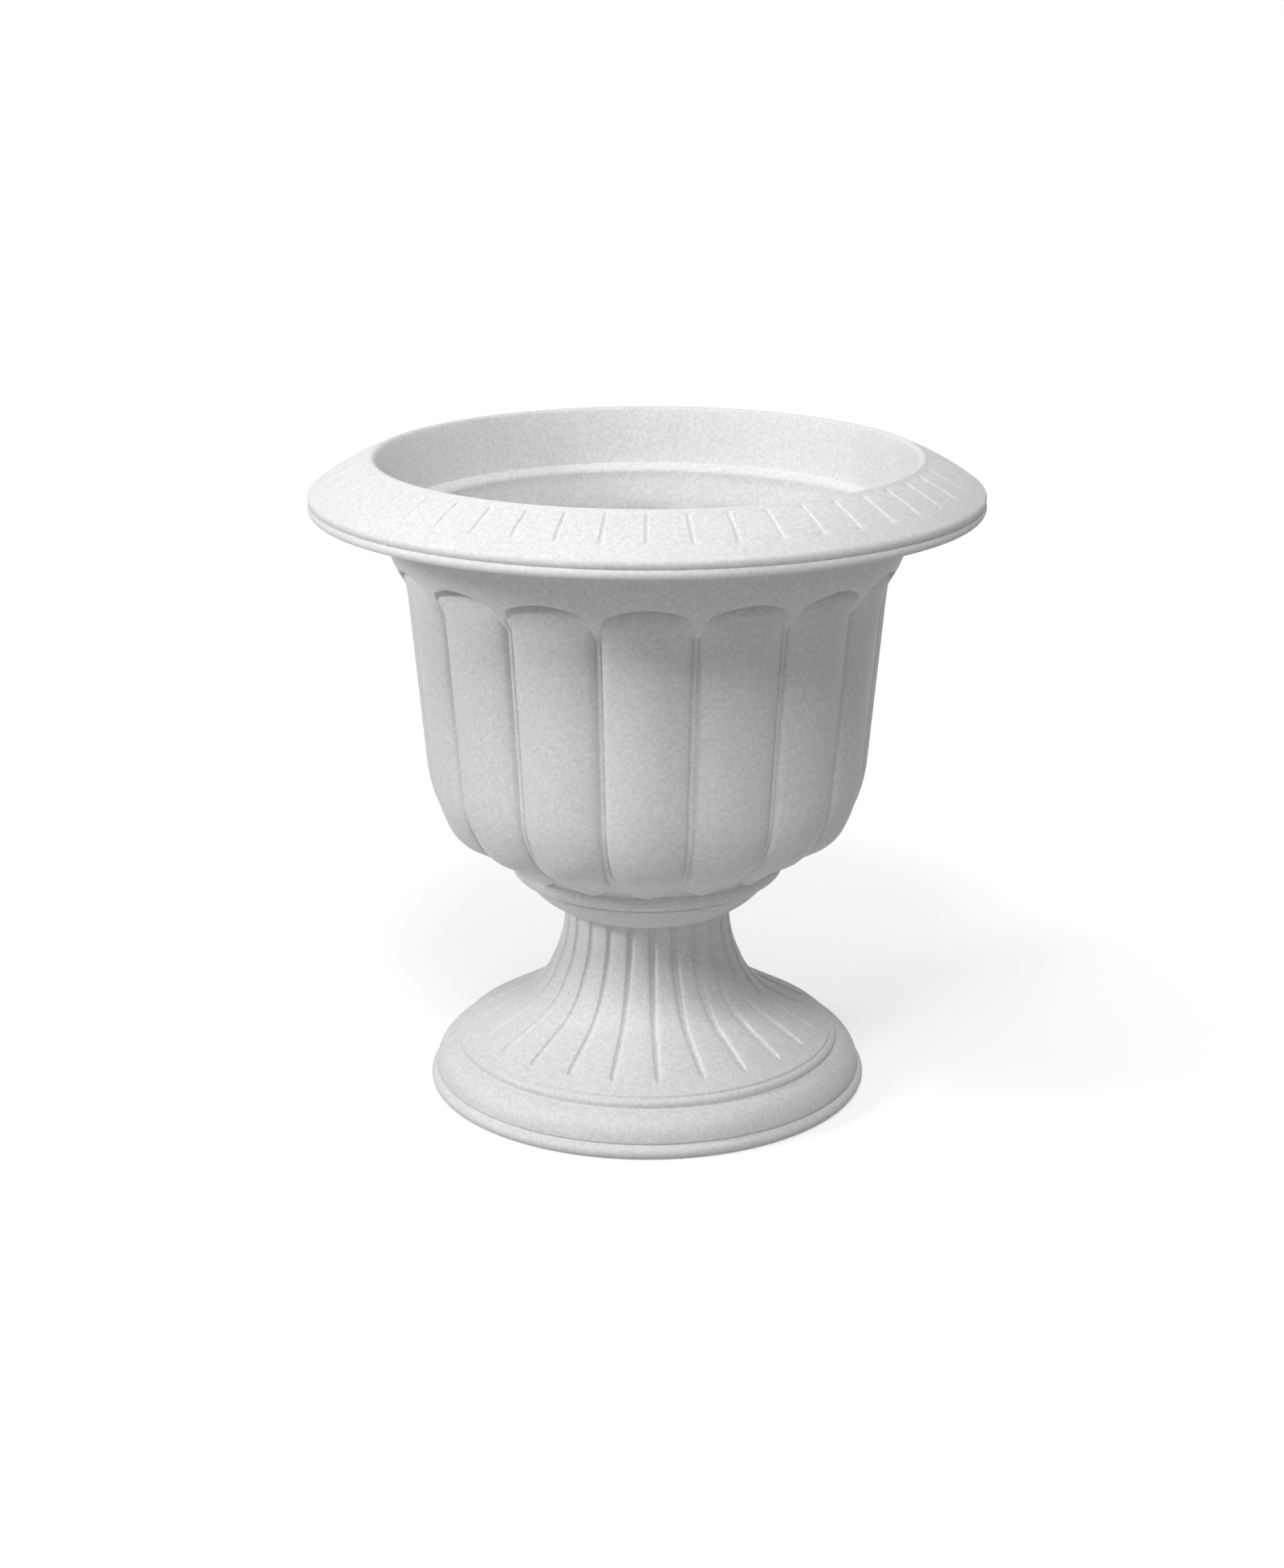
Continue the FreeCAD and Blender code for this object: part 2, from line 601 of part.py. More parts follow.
def lobe_section(size, station, inset):
    """The closed outline of a lobe square to its crown: an arc above a block sunk in the wall."""
    radius, height, lean, left = station
    relief = size.lobe_tip_relief.value
    relief += (size.lobe_relief.value - relief) * min(1.0, left / size.lobe_tip_length.value)
    half_step = math.pi / size.lobe_count.value
    narrowing = max(0.0, 1.0 - left / size.lobe_tip_length.value)
    edge_radius = radius - relief * math.cos(lean)
    half = edge_radius * math.tan(half_step) - size.rib_width.value / 2
    half *= math.sqrt(1.0 - narrowing ** 2)
    if lean == 0.0:
        # near the top the edges keep to the ribs while the crown rolls in
        wall_radius = rib_radius(size, height)
        relief = max(1.2, radius - wall_radius)
        half = (wall_radius - 2.0) * math.tan(half_step) - size.rib_width.value / 2
    depth = relief + half ** 2 * math.cos(lean) / (2 * edge_radius)
    if inset > 0:
        bend = (half ** 2 + depth ** 2) / (2 * depth)
        spread = (bend - inset) ** 2 - (bend - depth - inset) ** 2
        half = math.sqrt(max(spread, 4.0))
    outward = Vector(math.cos(lean), 0, -math.sin(lean))
    crown = Vector(radius, 0, height)
    across = Vector(0, 1, 0)
    edge_depth = depth + inset
    root_depth = edge_depth + size.wall.value * 0.55 * min(1.0, left / size.lobe_tip_length.value)
    root_depth += 0.3
    left_edge = crown - across * half - outward * edge_depth
    right_edge = crown + across * half - outward * edge_depth
    left_root = crown - across * half - outward * root_depth
    right_root = crown + across * half - outward * root_depth
    peak = crown - outward * inset
    return Part.Wire([
        Part.Arc(left_edge, peak, right_edge).toShape(),
        Part.LineSegment(right_edge, right_root).toShape(),
        Part.LineSegment(right_root, left_root).toShape(),
        Part.LineSegment(left_root, left_edge).toShape(),
    ])


def rib_radius(size, height):
    """Radius of the ribs' surface on the tapered wall."""
    rise = size.bowl_height.value - size.cove_drop.value - size.wall_low_height.value
    taper = (size.wall_top_radius.value - size.wall_low_radius.value) / rise
    return size.wall_low_radius.value + (height - size.wall_low_height.value) * taper


def build_lobe(document, size, name, inset):
    """The pad of one lobe outside the wall, or with an inset the hollow behind it."""
    stations = crown_line(size)
    if inset > 0:
        stations = [station for station in stations if station[3] > 18.0]
    sections = [lobe_section(size, station, inset) for station in stations]
    feature = document.addObject("Part::Feature", name)
    feature.Shape = Part.makeLoft(sections, True, False)
    return feature


def build_bowl(document, size):
    """The bowl: a moulded wall with lobes raised outside and hollowed to match inside."""
    raised = document.addObject("Part::Fuse", "bowl_raised")
    raised.Base = build_bowl_wedge(document, size)
    raised.Tool = build_lobe(document, size, "lobe_pad", 0.0)
    hollowed = document.addObject("Part::Cut", "bowl_hollowed")
    hollowed.Base = raised
    hollowed.Tool = build_lobe(document, size, "lobe_hollow", size.wall.value)
    document.recompute()
    blank = close_ring(document, "bowl_blank", hollowed, size.lobe_count)
    bowl = drill(document, "bowl", blank, size.drain_radius, size.floor_thickness, size)
    bind(bowl, "Placement.Base.z", size.pedestal_height)
    return bowl


# Bolt, washers, nut and plugs ---------------------------------------------------------------


def build_bolt(document, size):
    """Round-headed bolt, head up in the bowl; its origin is under the head."""
    body = new_body(document, "clamp_bolt")
    edge = size.bolt_head_height * 0.25
    rise = size.bolt_head_height - edge
    dome_radius = (size.bolt_head_radius * size.bolt_head_radius + rise * rise) / rise / 2
    turn(body, "bolt_turning", [
        (0, -size.bolt_length),
        (size.bolt_radius - 0.8, -size.bolt_length),
        (size.bolt_radius, -size.bolt_length + 0.8),
        (size.bolt_radius, 0),
        (size.bolt_head_radius, 0),
        (size.bolt_head_radius, edge, dome_radius),
        (0, size.bolt_head_height),
    ])
    seat = size.pedestal_height + size.floor_thickness + size.seal_thickness
    bind(body, "Placement.Base.z", seat)
    return body


def build_washer(document, size, label, radius, thickness, height):
    """A flat ring round the bolt, standing on the given height."""
    body = new_body(document, label)
    bore = size.bolt_radius + size.washer_gap
    turn(body, label + "_turning", [
        (bore, 0),
        (radius, 0),
        (radius, thickness),
        (bore, thickness),
    ])
    bind(body, "Placement.Base.z", height)
    return body


def build_wing_nut(document, size):
    """Wing nut: a tapered hub with two wings, its flat face up against the washer."""
    body = new_body(document, "wing_nut")
    bore = size.bolt_radius + size.nut_gap
    turn(body, "nut_hub", [
        (bore, -size.nut_height),
        (size.nut_top_radius, -size.nut_height),
        (size.nut_radius, -size.nut_height * 0.2),
        (size.nut_radius, 0),
        (bore, 0),
    ])
    wing_outline = new_sketch(body, "wing_outline", "XZ_Plane")
    root = bore + 1.0
    outline(wing_outline, [
        (root, -size.nut_height * 0.9),
        (root, -size.nut_height * 0.3),
        (size.wing_span * 0.6, -size.nut_height * 0.35),
        (size.wing_span, -size.nut_height, size.wing_reach * 0.62),
        (size.wing_span * 0.72, -(size.nut_height + size.wing_reach)),
    ])
    wing = body.newObject("PartDesign::Pad", "wing")
    wing.Profile = wing_outline
    wing.SideType = "Symmetric"
    wing.Length = size.wing_thickness.value
    bind(wing, "Length", size.wing_thickness)
    document.recompute()
    repeat(body, "wings", wing, Size(2, "2"), whole_turn())
    seat = size.pedestal_height - size.pedestal_plate - size.washer_thickness
    bind(body, "Placement.Base.z", seat)
    return body


def build_plug(document, size, place):
    """Rubber drain plug: a flange on the bowl's floor, a stem in the hole and a pull tab."""
    body = new_body(document, "drain_plug_%d" % (place + 1))
    stem = size.drain_radius - size.plug_gap
    turn(body, body.Label + "_turning", [
        (0, -size.plug_stem),
        (stem - size.plug_chamfer, -size.plug_stem),
        (stem, -size.plug_stem + size.plug_chamfer),
        (stem, 0),
        (size.plug_flange_radius, 0),
        (size.plug_flange_radius, size.plug_flange_thickness),
        (0, size.plug_flange_thickness),
    ])
    tab_outline = new_sketch(body, "tab_outline", "XZ_Plane")
    half = size.plug_tab_width / 2
    root = size.plug_flange_thickness * 0.5
    shoulder = size.plug_flange_thickness + size.plug_tab_height - half
    outline(tab_outline, [
        (-half, root),
        (half, root),
        (half, shoulder, half * 1.0001),
        (-half, shoulder),
    ])
    circle(tab_outline, 0, shoulder, size.plug_tab_hole)
    tab = body.newObject("PartDesign::Pad", "tab")
    tab.Profile = tab_outline
    tab.SideType = "Symmetric"
    tab.Length = size.plug_tab_thickness.value
    bind(tab, "Length", size.plug_tab_thickness)
    body.Tip = tab
    angle = math.radians(360.0 / size.drain_count.value * place)
    bind(body, "Placement.Base.x", size.drain_circle * math.cos(angle))
    bind(body, "Placement.Base.y", size.drain_circle * math.sin(angle))
    bind(body, "Placement.Base.z", size.pedestal_height + size.floor_thickness)
    return body


# Whole planter -----------------------------------------------------------------------------


def build_planter(document):
    size = Sheet(document)
    pieces = [build_pedestal(document, size), build_bowl(document, size)]
    pieces.append(build_bolt(document, size))
    floor_top = size.pedestal_height + size.floor_thickness
    plate_low = size.pedestal_height - size.pedestal_plate
    pieces.append(build_washer(document, size, "sealing_washer", size.seal_radius,
                               size.seal_thickness, floor_top))
    pieces.append(build_washer(document, size, "flat_washer", size.washer_radius,
                               size.washer_thickness, plate_low - size.washer_thickness))
    pieces.append(build_wing_nut(document, size))
    for place in range(int(size.drain_count.value)):
        pieces.append(build_plug(document, size, place))
    document.recompute()
    return pieces


def check(document, pieces):
    """Stops if any feature failed or any piece is empty or broken."""
    for item in document.Objects:
        if "Invalid" in item.State or "Error" in item.State:
            raise RuntimeError("failed feature: " + item.Label)
    for piece in pieces:
        if piece.Shape.isNull() or not piece.Shape.isValid():
            raise RuntimeError("bad shape: " + piece.Label)
        print("%-16s solids %d  volume %.1f cm3" % (
            piece.Label, len(piece.Shape.Solids), piece.Shape.Volume / 1000))


document = FreeCAD.newDocument("UrnPlanter")
pieces = build_planter(document)
check(document, pieces)
os.makedirs("parts", exist_ok=True)
for piece in pieces:
    piece.Shape.exportStep("parts/" + piece.Label + ".step")
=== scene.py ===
import math
import bmesh
import bpy
from mathutils import Matrix, Vector


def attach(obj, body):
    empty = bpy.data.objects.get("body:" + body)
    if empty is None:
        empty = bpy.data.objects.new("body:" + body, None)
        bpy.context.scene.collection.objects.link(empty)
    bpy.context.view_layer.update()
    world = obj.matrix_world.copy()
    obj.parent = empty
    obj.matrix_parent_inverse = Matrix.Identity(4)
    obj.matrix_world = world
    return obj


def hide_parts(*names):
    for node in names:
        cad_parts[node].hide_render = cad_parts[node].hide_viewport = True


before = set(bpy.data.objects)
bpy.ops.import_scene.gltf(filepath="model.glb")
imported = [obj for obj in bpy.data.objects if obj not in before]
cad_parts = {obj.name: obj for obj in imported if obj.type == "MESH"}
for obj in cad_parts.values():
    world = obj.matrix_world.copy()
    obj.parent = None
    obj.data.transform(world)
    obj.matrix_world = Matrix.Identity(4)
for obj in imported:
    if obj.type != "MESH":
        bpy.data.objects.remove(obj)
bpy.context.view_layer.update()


# ---------------------------------------------------------------------------------------------
# Pedestal. The real one is a hollow trumpet moulded in one piece from pale resin with a fine
# grey speckle, open below, with a plate across its neck for the bolt. Round-bottomed flutes run
# down the flare and stop short of the foot's three mouldings.

mm = 0.001
pedestal_top = 138.0
pedestal_turn = math.radians(3.8)
flute_count = 24
flute_tool_radius = 2.9
flute_depth = 2.5
flute_end_height = 42.6
drain_places = [(34.0 * math.cos(math.radians(a)), 34.0 * math.sin(math.radians(a)))
                for a in (0, 120, 240)]


def arc_points(start, finish, bend, steps):
    """Points of an arc after its start; a positive bend turns left on the way."""
    start, finish = Vector(start), Vector(finish)
    chord = finish - start
    rise = math.sqrt(max(bend * bend - chord.length_squared / 4, 0.0))
    side = Vector((-chord.y, chord.x)).normalized() * math.copysign(rise, bend)
    centre = (start + finish) / 2 + side
    first = start - centre
    swing = first.angle_signed(finish - centre)
    points = []
    for step in range(1, steps + 1):
        turn = -swing * step / steps
        points.append(centre + Vector((first.x * math.cos(turn) - first.y * math.sin(turn),
                                       first.x * math.sin(turn) + first.y * math.cos(turn))))
    return points


def trace(corners):
    """A profile through corners given as (radius, height, steps) or with a bend after the steps."""
    points = [Vector(corners[0][:2])]
    for place in range(len(corners) - 1):
        start, finish = corners[place], corners[place + 1]
        steps = start[2] if len(start) > 2 else 1
        if len(start) > 3:
            points += arc_points(start[:2], finish[:2], start[3], steps)
        else:
            a, b = Vector(start[:2]), Vector(finish[:2])
            points += [a.lerp(b, step / steps) for step in range(1, steps + 1)]
    return points


def loft(bm, columns):
    """Draws the first column as a chain of edges and extrudes it through the others."""
    row = bm.verts.layers.int.new("row")
    verts = [bm.verts.new(point) for point in columns[0]]
    for place, vert in enumerate(verts):
        vert[row] = place
    chain = [bm.edges.new(pair) for pair in zip(verts, verts[1:])]
    for column in columns[1:]:
        made = bmesh.ops.extrude_edge_only(bm, edges=chain)["geom"]
        fresh = {item for item in made if isinstance(item, bmesh.types.BMVert)}
        for vert in fresh:
            vert.co = column[vert[row]]
        chain = [item for item in made if isinstance(item, bmesh.types.BMEdge)
                 and item.verts[0] in fresh and item.verts[1] in fresh]


def close_round(bm, count):
    """Mirrors half a share across the X axis and spins copies of the whole share into a ring."""
    bmesh.ops.mirror(bm, geom=bm.verts[:] + bm.edges[:] + bm.faces[:], axis="Y",
                     matrix=Matrix.Identity(4), merge_dist=1e-6)
    bmesh.ops.spin(bm, geom=bm.verts[:] + bm.edges[:] + bm.faces[:], cent=(0, 0, 0),
                   axis=(0, 0, 1), angle=math.tau * (count - 1) / count, steps=count - 1,
                   use_duplicate=True)
    bmesh.ops.remove_doubles(bm, verts=bm.verts[:], dist=2e-6)


def floor_with_holes(bm, low, high, holes):
    """Closes the two open rims of a shell with flat plates and cuts round holes through them."""
    plates = []
    for height in (low, high):
        rim = [edge for edge in bm.edges if edge.is_boundary
               and all(abs(vert.co.z - height) < 1e-6 for vert in edge.verts)]
        loops = []
        for x, y, radius, sides in holes:
            ring = bmesh.ops.create_circle(bm, segments=sides, radius=radius * mm,
                                           matrix=Matrix.Translation((x * mm, y * mm, height)))
            loops.append(list({edge for vert in ring["verts"] for edge in vert.link_edges}))
        edges = rim + [edge for loop in loops for edge in loop]
        bmesh.ops.triangle_fill(bm, edges=edges, use_beauty=True, normal=(0, 0, 1))
        plates.append(loops)
    for lower, upper in zip(*plates):
        bmesh.ops.bridge_loops(bm, edges=lower + upper)


def finish_piece(bm, name, material, sharp=38.0):
    """Turns the normals outwards, keeps real corners crisp and makes the object."""
    bmesh.ops.recalc_face_normals(bm, faces=bm.faces[:])
    for face in bm.faces:
        face.smooth = True
    for edge in bm.edges:
        if len(edge.link_faces) == 2 and edge.calc_face_angle(0.0) > math.radians(sharp):
            edge.smooth = False
    mesh = bpy.data.meshes.new(name)
    bm.to_mesh(mesh)
    bm.free()
    piece = bpy.data.objects.new(name, mesh)
    bpy.context.scene.collection.objects.link(piece)
    mesh.materials.append(material)
    return piece


def stone_resin(name, seed):
    """Pale moulded resin: fine grey mottling, faint clouding, satin skin with a soft grain."""
    material = bpy.data.materials.new(name)
    material.use_nodes = True
    nodes, links = material.node_tree.nodes, material.node_tree.links
    shader = nodes["Principled BSDF"]
    place = nodes.new("ShaderNodeTexCoord")
    shift = nodes.new("ShaderNodeMapping")
    shift.inputs["Location"].default_value = (seed, seed * 0.7, 0.0)
    links.new(place.outputs["Object"], shift.inputs["Vector"])

    mottle = nodes.new("ShaderNodeTexNoise")
    mottle.inputs["Scale"].default_value = 380.0
    mottle.inputs["Detail"].default_value = 5.0
    mottle.inputs["Roughness"].default_value = 0.66
    links.new(shift.outputs["Vector"], mottle.inputs["Vector"])
    stone = nodes.new("ShaderNodeValToRGB")
    stone.color_ramp.elements[0].position = 0.28
    stone.color_ramp.elements[0].color = (0.66, 0.66, 0.67, 1)
    stone.color_ramp.elements[1].position = 0.68
    stone.color_ramp.elements[1].color = (0.86, 0.86, 0.86, 1)
    links.new(mottle.outputs["Fac"], stone.inputs["Fac"])

    cloud = nodes.new("ShaderNodeTexNoise")
    cloud.inputs["Scale"].default_value = 22.0
    cloud.inputs["Detail"].default_value = 4.0
    links.new(shift.outputs["Vector"], cloud.inputs["Vector"])
    tint = nodes.new("ShaderNodeMix")
    tint.data_type = "RGBA"
    tint.blend_type = "MULTIPLY"
    tint.inputs["Factor"].default_value = 0.09
    links.new(stone.outputs["Color"], tint.inputs["A"])
    links.new(cloud.outputs["Fac"], tint.inputs["B"])
    links.new(tint.outputs["Result"], shader.inputs["Base Color"])

    gloss = nodes.new("ShaderNodeMapRange")
    gloss.inputs["To Min"].default_value = 0.50
    gloss.inputs["To Max"].default_value = 0.68
    links.new(cloud.outputs["Fac"], gloss.inputs["Value"])
    links.new(gloss.outputs["Result"], shader.inputs["Roughness"])

    grain = nodes.new("ShaderNodeBump")
    grain.inputs["Strength"].default_value = 0.16
    grain.inputs["Distance"].default_value = 0.0004
    links.new(mottle.outputs["Fac"], grain.inputs["Height"])
    links.new(grain.outputs["Normal"], shader.inputs["Normal"])
    return material


trumpet_outside = trace([
    (58.0, pedestal_top), (58.0, 136.5), (58.0, 133.0), (58.0, 127.0, 14, 89.0),
    (66.5, 89.0, 12, 60.0), (86.0, 62.0, 14), (131.0, 36.6)])
foot_mouldings = trace([
    (131.0, 36.6), (131.3, 35.0), (132.6, 34.8, 6, -3.2), (134.9, 30.6), (134.5, 29.1),
    (136.2, 28.9, 14, -19.0), (150.9, 11.0), (149.8, 9.5), (151.3, 8.6, 8, -4.6), (152.2, 0.0)])
pedestal_inside = trace([
    (152.2, 0.0), (147.8, 0.0), (146.4, 10.0), (128.8, 32.1), (83.8, 58.1, 8, -64.5),
    (62.5, 87.2, 8, -93.5), (53.5, 127.0), (53.5, 132.0)])
flute_shares = (0.0, 0.40, 0.75, 1.0)
ridge_shares = (0.12, 0.5, 1.0)
half_pitch = math.pi / flute_count


def flute_fade(height):
    """1 along a flute, falling to 0 over its rounded ends."""
    if height > 133.0 or height < flute_end_height:
        return 0.0
    below = (height - flute_end_height) * 2.0 / 3.0
    return math.sqrt(max(0.0, 1.0 - max(0.0, 1.0 - below) ** 2))


def pedestal_row(radius, height, normal, fade):
    """One level of half a flute's share: points across the groove, then on to the next ridge."""
    half_width = math.sqrt(flute_tool_radius ** 2 - (flute_tool_radius - flute_depth) ** 2)
    half_width *= max(fade, 0.35)
    points = []
    for share in flute_shares:
        across = share * half_width
        sink = math.sqrt(flute_tool_radius ** 2 - (share * flute_tool_radius * 0.975) ** 2)
        sink = max(0.0, sink - (flute_tool_radius - flute_depth)) * fade
        around = across / radius
        out = radius - normal.x * sink
        points.append(Vector((out * math.cos(around), out * math.sin(around),
                              height - normal.y * sink)) * mm)
    edge = half_width / radius
    for share in ridge_shares:
        around = edge + (half_pitch - edge) * share
        points.append(Vector((radius * math.cos(around), radius * math.sin(around), height)) * mm)
    return points


pedestal_rows = []
flare = trumpet_outside[:-1]
for place, point in enumerate(flare):
    before, after = flare[max(place - 1, 0)], trumpet_outside[place + 1]
    along = (after - before).normalized()
    pedestal_rows.append(pedestal_row(point.x, point.y, Vector((-along.y, along.x)),
                                      flute_fade(point.y)))
for point in foot_mouldings + pedestal_inside[1:]:
    pedestal_rows.append(pedestal_row(point.x, point.y, Vector((1, 0)), 0.0))

bm = bmesh.new()
loft(bm, list(zip(*pedestal_rows)))
close_round(bm, flute_count)
floor_with_holes(bm, 132.0 * mm, pedestal_top * mm,
                 [(0, 0, 4.5, 32)] + [(x, y, 11.0, 40) for x, y in drain_places])
bmesh.ops.rotate(bm, verts=bm.verts[:], cent=(0, 0, 0),
                 matrix=Matrix.Rotation(pedestal_turn, 3, "Z"))
pedestal_resin = stone_resin("pedestal_resin", 3.1)
pedestal = finish_piece(bm, "pedestal_trumpet", pedestal_resin)
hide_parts("pedestal")
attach(pedestal, "planter")


# ---------------------------------------------------------------------------------------------
# Bowl. One hollow moulding in the same resin: a socket and collar that sit on the pedestal,
# sixteen raised lobes between flat ribs, an arched band over the lobes, and a wide sloping rim
# with radial grooves and a double-beaded lip. The wall is thin and follows the lobes inside.

lobe_count = 16
wall = 4.5
rib_width = 5.0
lobe_step = math.tau / lobe_count
half_lobe = lobe_step / 2
rib_low = Vector((146.5, 235.0))
rib_top = Vector((157.4, 360.0))
crown_low = Vector((153.5, 237.0))
crown_top_height = 356.0
tip_narrowing = 24.0
relief_fade = 50.0
rib_fade = 26.0
ledge_radius = 157.6
ledge_height = 386.0
arch_apex = 382.8
arch_side = 371.5
arch_bend = 60.0
shoulder_start = 23.6
shoulder_width = 4.4
cove = trace([(*rib_top, 20, 60.0), (177.7, 400.0)])
taper = math.atan2(rib_top.x - rib_low.x, rib_top.y - rib_low.y)
rib_wall = ([Vector((97.4, 168.0))] + [Vector((112.4, 181.5))]
            + arc_points((112.4, 181.5), rib_low, 59.0, 60) + [rib_top])
# where the columns of half a lobe stand: across the lobe, then across half a rib
lobe_shares = (0.0, 0.16, 0.31, 0.45, 0.58, 0.70, 0.80, 0.88, 0.935, 0.965, 0.983, 1.0)
rib_groove_width = 1.0
rib_groove_depth = 1.1
plain_angles = [10.1 * share for share in lobe_shares] + [10.2, 10.55, 10.9, 11.25]
rim_angles = [0.0, 0.22, 0.40, 0.52, 1.9, 3.6, 5.4, 6.98, 7.10, 7.28, 7.5, 7.72, 7.90, 8.02,
              9.6, 11.25]
top_half = 157.6 * math.tan(half_lobe) - rib_width / 2


def depth_to_ribs(crown, lean):
    """How far a point of the crown stands out from the ribs' surface, square to the crown."""
    outward = Vector((math.cos(lean), -math.sin(lean)))
    for low, high in zip(rib_wall, rib_wall[1:]):
        along = high - low
        across = outward.x * along.y - outward.y * along.x
        gap = crown - low
        share = (outward.x * gap.y - outward.y * gap.x) / across
        if -1e-6 <= share <= 1.0 + 1e-6:
            reach = (gap.x * along.y - gap.y * along.x) / across
            return max(reach, 0.0)
    return 0.0


def crown_path():
    """The lobe's crown from its tip up: (point, lean from upright, length from the tip)."""
    point, lean = crown_low.copy(), taper
    rise = crown_top_height - crown_low.y
    track = [Vector((crown_low.x + rise * math.tan(taper), crown_top_height)), point.copy()]
    for bend, end_lean in ((110.0, math.radians(25)), (34.0, math.radians(66))):
        swing = (end_lean - lean) / 24
        for _ in range(24):
            point.x -= bend * (math.cos(lean) - math.cos(lean + swing))
            point.y -= bend * (math.sin(lean + swing) - math.sin(lean))
            lean += swing
            track.append(point.copy())
    toe, tip = Vector((108.9, 174.4)), Vector((99.6, 166.3))
    before = toe + (track[-1] - toe).normalized() * 6.0
    after = toe + (tip - toe).normalized() * 5.0
    track.append(before)
    for step in range(1, 12):
        share = step / 12
        track.append(before.lerp(toe, share).lerp(toe.lerp(after, share), share))
    track += [after, tip]
    track.reverse()
    lengths = [0.0]
    for low, high in zip(track, track[1:]):
        lengths.append(lengths[-1] + (high - low).length)

    narrowing = [tip_narrowing * (1.0 - math.sin(math.radians(turn)))
                 for turn in (86, 79, 71, 62, 52, 42, 32, 21, 10)]
    bends = [tip_narrowing + 2.6 * step for step in range(11)]
    bends += [53.5, 57.0, 62.0, 68.0, 75.0, 82.0, 90.0]
    straight = [100.0, 112.0, 126.0, 142.0, 160.0, 178.0, 194.0, 206.0]
    path = []
    for left in narrowing + bends + straight:
        place = max(index for index, length in enumerate(lengths) if length <= left)
        place = min(place, len(track) - 2)
        low, high = track[place], track[place + 1]
        share = (left - lengths[place]) / (high - low).length
        along = high - low
        path.append((low.lerp(high, share), math.atan2(along.x, along.y), left))
    return path


def section_fall(share, flatness):
    """How far a lobe's section has fallen at a share of its half width, from 0 to 1."""
    rounded = 0.64 * share ** 2 + 0.08 * share ** 4 + 0.28 * share ** 40
    flat = 0.15 * share ** 2 + 0.25 * share ** 4 + 0.60 * share ** 40
    return rounded + (flat - rounded) * flatness


def with_ribs(points, proud=0.0):
    """Adds half a rib beyond a lobe's edge: a fine groove, then the rib standing proud of it."""
    edge = points[-1]
    start = math.atan2(edge.y, edge.x)
    radius = math.hypot(edge.x, edge.y)
    floor_end = start + 0.35 * mm / radius
    rib_start = min(start + rib_groove_width * mm / radius, half_lobe - 1e-4)
    for around, rise in ((floor_end, 0.0), (rib_start, 0.9),
                         ((rib_start + half_lobe) / 2, 1.0), (half_lobe, 1.0)):
        out = radius + rise * proud * rib_groove_depth * mm
        points.append(Vector((out * math.cos(around), out * math.sin(around), edge.z)))
    return points


def turned_row(radius, height, angles):
    """One level of a plain turned surface, with its columns at these angles in degrees."""
    return [Vector((radius * math.cos(math.radians(a)), radius * math.sin(math.radians(a)),
                    height)) * mm for a in angles]


def lobe_row(crown, lean, left, inset):
    """One level across a lobe and half a rib, on the outside or sunk in by the wall."""
    relief = depth_to_ribs(crown, lean)
    tip = max(0.0, 1.0 - left / tip_narrowing)
    edge_radius = crown.x - relief * math.cos(lean)
    half = (edge_radius * math.tan(half_lobe) - rib_width / 2) * (1.0 - tip ** 2.4) ** (1 / 2.4)
    depth = relief + half ** 2 * math.cos(lean) / (2 * edge_radius)
    half -= inset * 0.45
    crown = crown - Vector((math.cos(lean), -math.sin(lean))) * inset
    points = []
    for share in lobe_shares:
        sink = depth * section_fall(share, max(0.0, 1.0 - left / relief_fade))
        points.append(Vector((crown.x - math.cos(lean) * sink, share * half,
                              crown.y + math.sin(lean) * sink)) * mm)
    return with_ribs(points, min(1.0, (left / rib_fade) ** 2) if inset == 0.0 else 0.0)


def arch_height(across):
    """Height of the arch over a lobe: a flat curve with tighter rounded shoulders."""
    across = abs(across)
    if across <= shoulder_start:
        return arch_apex - (arch_bend - math.sqrt(arch_bend ** 2 - across ** 2))
    share = min((across - shoulder_start) / shoulder_width, 1.0)
    top = arch_apex - (arch_bend - math.sqrt(arch_bend ** 2 - shoulder_start ** 2))
    return arch_side + (top - arch_side) * math.sqrt(1.0 - share ** 2)


def cove_radius(height):
    """Radius of the band over the lobes; below it, of the ribs' tapered wall."""
    if height <= rib_top.y:
        slope = (rib_top.x - rib_low.x) / (rib_top.y - rib_low.y)
        return rib_top.x + (height - rib_top.y) * slope
    for low, high in zip(cove, cove[1:]):
        if height <= high.y:
            return low.x + (high.x - low.x) * (height - low.y) / (high.y - low.y)
    return cove[-1].x


def inner_wall_radius(height):
    """Radius inside the ribs, and above them of the plain slope up to the ledge."""
    if height <= rib_top.y:
        return cove_radius(height) - wall
    slope = (ledge_radius - (rib_top.x - wall)) / (ledge_height - rib_top.y)
    return rib_top.x - wall + (height - rib_top.y) * slope


def lobe_top_row(drop, inward, proud):
    """One level of a lobe's rounded top under its arch, rolled in behind the band above."""
    points = []
    for share in lobe_shares:
        across = share * top_half
        height = arch_height(across) - drop
        crown = crown_low.x + (height - crown_low.y) * math.tan(taper)
        plain = cove_radius(height)
        depth = crown - plain + top_half ** 2 / (2 * plain)
        out = crown - depth * section_fall(share, 0.0) - inward * (1.0 - share ** 4)
        points.append(Vector((out, across, height)) * mm)
    return with_ribs(points, proud)


def arch_lip_row(rise, cut, rib_rise):
    """One level of the arch's rounded lip, from its underside to the face of the band."""
    points = []
    for share in lobe_shares:
        across = share * top_half
        opening = 1.0 - share ** 4
        height = arch_height(across) + rib_rise + (rise - rib_rise) * opening
        radius = cove_radius(height) - cut * opening
        points.append(Vector((math.sqrt(radius ** 2 - across ** 2), across, height)) * mm)
    return with_ribs(points)


